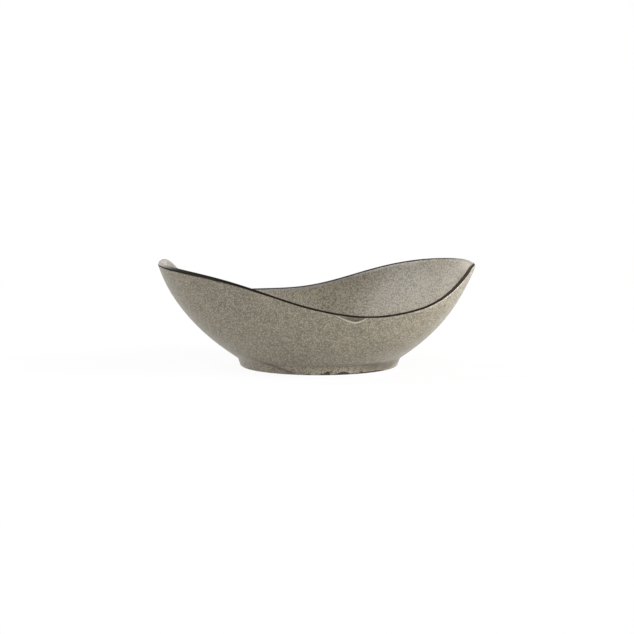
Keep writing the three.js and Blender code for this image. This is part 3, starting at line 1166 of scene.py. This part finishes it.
def make_camera(look):
    """Camera in front of the bowl, looking down a little, with the photo's scale at the bowl's middle."""
    eye = bpy.data.cameras.new("photo_camera")
    eye.sensor_width = SENSOR_WIDTH
    eye.lens = SENSOR_WIDTH * PIXELS_PER_METRE * look.camera_distance / IMAGE_PIXELS
    eye.clip_end = 4 * FLOOR_REACH
    camera = bpy.data.objects.new("photo_camera", eye)
    back = look.camera_distance * math.cos(look.camera_rise)
    up = look.camera_distance * math.sin(look.camera_rise)
    camera.location = (FRAME_SHIFT, -back, AIM_HEIGHT + up)
    face_point(camera, (FRAME_SHIFT, 0.0, AIM_HEIGHT - FRAME_DROP))
    bpy.context.scene.collection.objects.link(camera)
    bpy.context.scene.camera = camera


# Operators

class BOWL_OT_stage(bpy.types.Operator):
    """Sets up the floor, the soft light and the camera"""

    bl_idname = "bowl.stage"
    bl_label = "Studio stage"

    def execute(self, context):
        look = context.scene.bowl_stage
        context.scene.view_settings.view_transform = "Standard"
        make_floor(look)
        make_sky(look)
        for name, (power, place, width, mirrored) in LAMPS.items():
            make_lamp(name, getattr(look, power), place, width, mirrored)
        for name, (level, low, high) in CARDS.items():
            make_card(name, getattr(look, level), low, high)
        make_camera(look)
        return {"FINISHED"}


class BOWL_OT_clay(bpy.types.Operator):
    """Makes the clay body and the clay ring of the foot"""

    bl_idname = "bowl.clay"
    bl_label = "Clay body and foot"

    def execute(self, context):
        shape = context.scene.bowl_shape
        marks = context.scene.bowl_marks
        body = clay_body_mesh(shape, marks)
        place_piece("clay_body", body, finish("bare_stoneware"), "bowl_wall")
        foot = clay_foot_mesh(shape, marks)
        place_piece("clay_foot", foot, finish("bare_stoneware"), "foot_ring")
        return {"FINISHED"}


class BOWL_OT_speckled_coats(bpy.types.Operator):
    """Makes the speckled coats outside, inside, round the foot and in its recess"""

    bl_idname = "bowl.speckled_coats"
    bl_label = "Speckled glaze"

    def execute(self, context):
        shape = context.scene.bowl_shape
        marks = context.scene.bowl_marks
        coats = (
            ("outside_glaze", outside_glaze_mesh, "outer_glaze"),
            ("inside_glaze", inside_glaze_mesh, "inner_glaze"),
            ("foot_coat", foot_glaze_mesh, "foot_glaze"),
            ("recess_coat", recess_glaze_mesh, "base_glaze"),
        )
        for name, maker, node in coats:
            place_piece(name, maker(shape, marks), finish("satin_speckle"), node)
        return {"FINISHED"}


class BOWL_OT_lip_band(bpy.types.Operator):
    """Makes the dark band over the lip"""

    bl_idname = "bowl.lip_band"
    bl_label = "Dark lip band"

    def execute(self, context):
        band = rim_band_mesh(context.scene.bowl_shape, context.scene.bowl_marks)
        place_piece("lip_band", band, finish("dark_lip"), "rim_band")
        return {"FINISHED"}


class BOWL_PT_panel(bpy.types.Panel):
    """Sizes, colours and makers of the bowl"""

    bl_idname = "BOWL_PT_panel"
    bl_label = "Oval bowl"
    bl_space_type = "VIEW_3D"
    bl_region_type = "UI"
    bl_category = "Bowl"

    def draw(self, context):
        for operator in OPERATORS:
            self.layout.operator(operator.bl_idname)
        for name in SETTINGS:
            settings = getattr(context.scene, name)
            box = self.layout.box()
            for field in settings.bl_rna.properties:
                if field.identifier not in {"rna_type", "name"}:
                    box.prop(settings, field.identifier)


SETTINGS = {
    "bowl_shape": BowlShape,
    "bowl_marks": HandMarks,
    "bowl_look": GlazeLook,
    "bowl_stage": StageLook,
}
OPERATORS = (BOWL_OT_stage, BOWL_OT_clay, BOWL_OT_speckled_coats, BOWL_OT_lip_band)
CLASSES = (*SETTINGS.values(), *OPERATORS, BOWL_PT_panel)


def register():
    """Registers the classes and hangs the settings on the scene."""
    for entry in CLASSES:
        bpy.utils.register_class(entry)
    for name, group in SETTINGS.items():
        setattr(bpy.types.Scene, name, bpy.props.PointerProperty(type=group))


def unregister():
    """Takes the settings off the scene and the classes out again."""
    for name in SETTINGS:
        delattr(bpy.types.Scene, name)
    for entry in reversed(CLASSES):
        bpy.utils.unregister_class(entry)


def main():
    """Registers the add-on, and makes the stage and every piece."""
    register()
    bpy.ops.bowl.stage()
    bpy.ops.bowl.clay()
    bpy.ops.bowl.speckled_coats()
    bpy.ops.bowl.lip_band()


if __name__ == "__main__":
    main()
